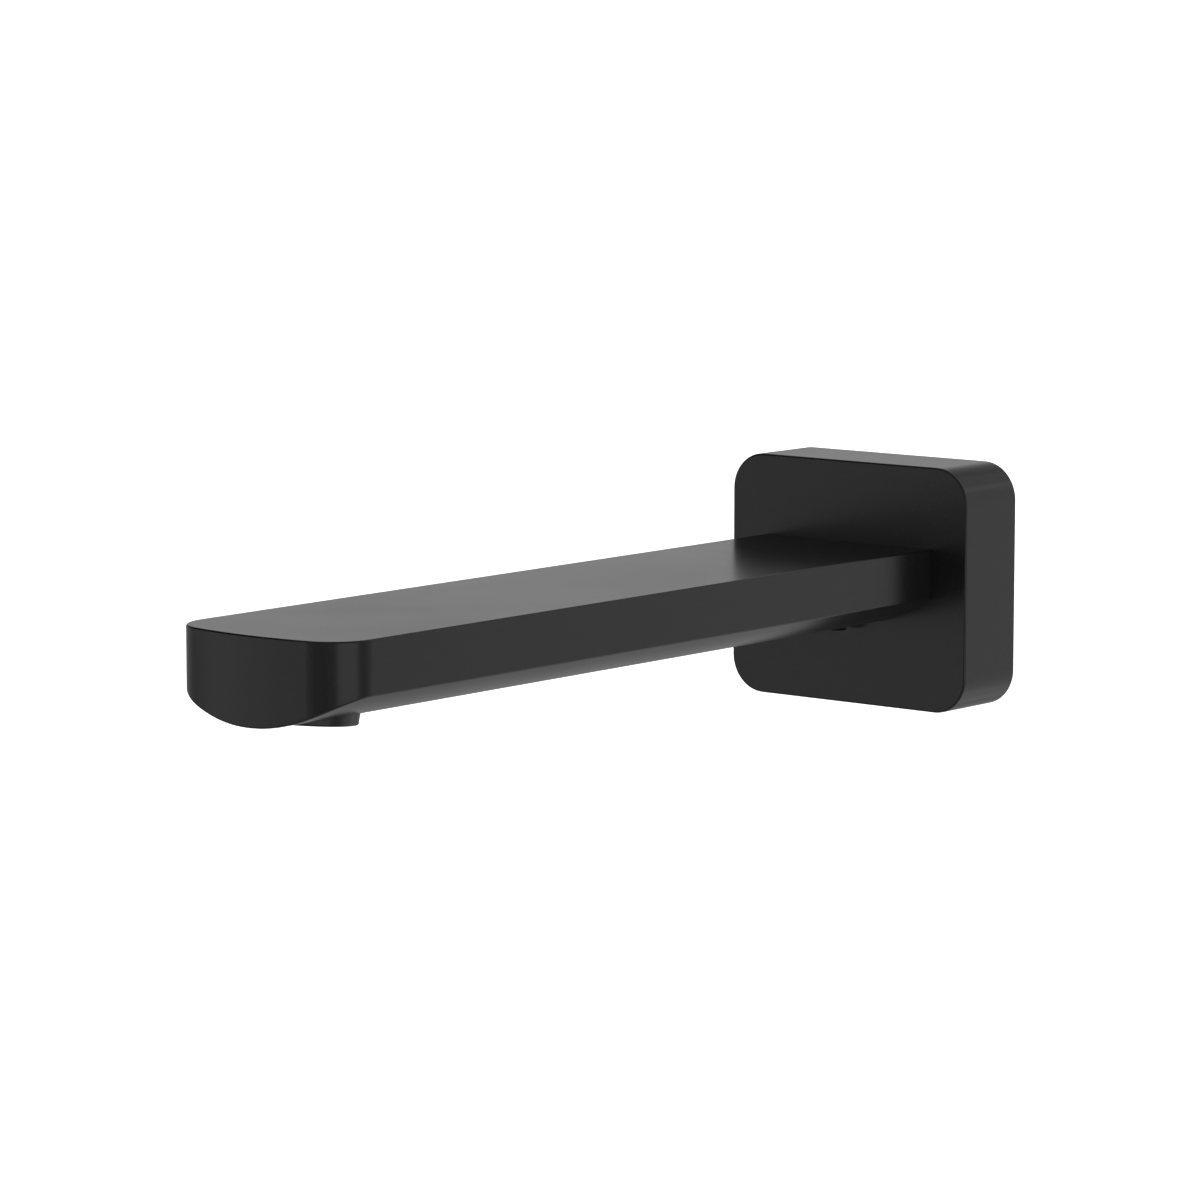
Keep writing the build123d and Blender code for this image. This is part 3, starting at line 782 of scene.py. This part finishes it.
# %% [markdown]
# ## Paper that stays white
#
# A studio photograph whose background is cut out has a floor of pure white, while the spout still
# mirrors the dimmer room that really stood round it. Two settings say the same here. The paper glows
# a little, so it stays white in every corner. And it is left out of mirrored light, so the coat
# mirrors only the softboxes, the cards and the grey air of the room.

# %% White paper
paper_glow = 0.75
paper = finish(
    "white paper", (0.86, 0.86, 0.86), (0.9, 0.9, 0.9), 0.8, 0.9,
    relief=0.1, grain=900.0, clouds=2.0, specular=0.1,
)
paper_shader = paper.node_tree.nodes["Principled BSDF"]
paper_shader.inputs["Emission Color"].default_value = (1.0, 1.0, 1.0, 1.0)
paper_shader.inputs["Emission Strength"].default_value = paper_glow
floor_mesh.materials.append(paper)
paper_floor.visible_glossy = False
paper_floor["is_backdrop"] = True
print("paper glows with", paper_glow)

# %% [markdown]
# ## Soft light
#
# A satin black surface shows little but reflections, so the light is placed by what each face
# mirrors towards the camera. A place in the studio is given by how far it lies away from the camera,
# across the view and above the spout, counted from the middle of the arm.

# %% Places in the studio
view_azimuth = radians(39.207)
view_elevation = radians(7.585)
away = Vector((-sin(view_azimuth), cos(view_azimuth), 0.0))
across = Vector((cos(view_azimuth), sin(view_azimuth), 0.0))
spout_middle = Vector((0.0, -0.11, 0.0))


def studio_place(far, side, height):
    """A point of the studio: away from the camera, to its right, and up, counted from the spout."""
    return spout_middle + away * far + across * side + Vector((0, 0, height))


print("a metre away from the camera is", tuple(round(value, 3) for value in studio_place(1, 0, 0)))

# %% [markdown]
# Each softbox is given by the brightness of its cloth: the power that an area lamp needs for it is
# brightness x pi x area. Each line below gives its name, its place, the point that it faces, its
# width and height, and that brightness. The back one is what the arm's flat top mirrors, and makes it
# the lightest face. It hangs low, because the round corners mirror what lies above it and have to
# stay dark, and the weak one at the top rear keeps them from going quite black. The two on the rear
# right fill the long side and wrap round the plate's lower corner. The right one draws the light
# band on the tip's near corner, and the left one lights the tip and the front of the plate.

# %% Softboxes


def softbox(name, place, target, width, height, brightness):
    """A rectangular lamp at one place of the studio that faces another; it shines along its -Z."""
    lamp = bpy.data.lights.new(name, "AREA")
    lamp.shape = "RECTANGLE"
    lamp.size = width
    lamp.size_y = height
    lamp.energy = brightness * pi * width * height
    holder = bpy.data.objects.new(name, lamp)
    holder.location = studio_place(*place)
    backwards = studio_place(*place) - studio_place(*target)
    holder.rotation_euler = backwards.to_track_quat("Z", "Y").to_euler()
    bpy.context.scene.collection.objects.link(holder)
    print(f"{name}: {lamp.energy:.2f} W")


softbox("top rear softbox", (0.55, 1.25, 1.15), (0.0, 0.0, 0.0), 1.3, 1.3, 0.3)
softbox("left softbox", (-0.56, -1.92, -0.1), (0.0, 0.0, -0.1), 1.73, 1.1, 0.5)
softbox("right softbox", (-1.64, 1.05, 0.0), (0.0, 0.0, 0.0), 1.75, 1.6, 0.88)
softbox("rear right softbox", (0.83, 2.13, -0.18), (0.0, 0.0, -0.18), 2.0, 2.56, 0.465)
softbox("low rear softbox", (0.78, 1.31, -1.29), (0.0, 0.0, 0.0), 1.6, 0.75, 0.4)
softbox("back softbox", (2.2, 0.0, 0.6), (0.0, 0.0, 0.6), 2.6, 0.7, 0.3)

# %% [markdown]
# Light alone would leave the edges soft. A photographer sets a black card where the small radius
# between top and front mirrors it, and it draws the thin dark line that runs along the edge. A grey
# card beside the camera does the same, more gently, for the shaded band on the tip's corner.

# %% Cards
velvet = finish(
    "black velvet", (0.001, 0.001, 0.001), (0.002, 0.002, 0.002), 0.9, 1.0,
    relief=0.1, grain=900.0, clouds=2.0, specular=0.0,
)
grey_felt = finish(
    "grey felt", (0.26, 0.26, 0.26), (0.3, 0.3, 0.3), 0.9, 1.0,
    relief=0.1, grain=900.0, clouds=2.0, specular=0.0,
)


def card(name, place, target, width, height, covering):
    """A covered board at one place of the studio that faces another; the camera doesn't see it."""
    facing = studio_place(*target) - studio_place(*place)
    aim = facing.to_track_quat("Z", "Y").to_matrix().to_4x4()
    signs = [(-1, -1), (1, -1), (1, 1), (-1, 1)]
    corners = [(x * width / 2, y * height / 2, 0.0) for x, y in signs]
    mesh = bpy.data.meshes.new(name)
    mesh.from_pydata(corners, [], [(0, 1, 2, 3)])
    mesh.transform(Matrix.Translation(studio_place(*place)) @ aim)
    mesh.materials.append(covering)
    board = bpy.data.objects.new(name, mesh)
    board.visible_camera = False
    bpy.context.scene.collection.objects.link(board)
    board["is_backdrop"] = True
    print(f"{name}: {width:.2f} x {height:.2f} m")


card("left_black_card", (0.777, -1.392, 1.035), (0.0, 0.0, 0.0), 3.0, 1.4, velvet)
card("front_grey_card", (-1.85, -1.03, 0.0), (0.0, 0.0, 0.0), 1.3, 2.3, grey_felt)

# %% [markdown]
# What is left is the faint light of the room itself, even from all sides. It fills whatever no
# softbox reaches, so the shaded faces stay readable.

# %% Light of the room
room_brightness = 0.36
world = bpy.data.worlds.new("studio air")
world.use_nodes = True
room = world.node_tree.nodes["Background"]
room.inputs["Color"].default_value = (1.0, 1.0, 1.0, 1.0)
room.inputs["Strength"].default_value = room_brightness
bpy.context.scene.world = world
bpy.context.scene.view_settings.view_transform = "Standard"
print("room light", room_brightness, "and", len(bpy.data.lights), "lamps")

# %% [markdown]
# ## The camera
#
# The photograph was taken with a long lens from the front right, slightly above the arm. The lens,
# place and tilt were worked out from the spout's own edges, so the render lies over the photograph.

# %% Camera
view_roll = radians(-0.070)
camera_place = (0.73325, -1.01583, 0.15983)
focal_length = 151.74
film_width = 36.0

ahead = (away * cos(view_elevation) - Vector((0, 0, sin(view_elevation)))).normalized()
down = ahead.cross(across)
camera_right = across * cos(view_roll) + down * sin(view_roll)
camera_up = -(down * cos(view_roll) - across * sin(view_roll))
camera_data = bpy.data.cameras.new("long lens")
camera_data.sensor_width = film_width
camera_data.lens = focal_length
camera_data.clip_start = 0.05
camera_data.clip_end = 50.0
camera = bpy.data.objects.new("camera", camera_data)
turned = Matrix((camera_right, camera_up, -ahead)).transposed().to_4x4()
camera.matrix_world = Matrix.Translation(camera_place) @ turned
bpy.context.scene.collection.objects.link(camera)
bpy.context.scene.camera = camera
print("camera looks along", tuple(round(value, 3) for value in ahead))

# %% [markdown]
# Last, two boxes are printed: that of the solids as they were loaded, and that of the model as it is
# dressed now.

# %% Sizes, and the last line
boxes = {"solids": solid_box, "visual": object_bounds()}
boxes = {name: [list(corner) for corner in box] for name, box in boxes.items()}
print("solids and visual model measure", boxes)
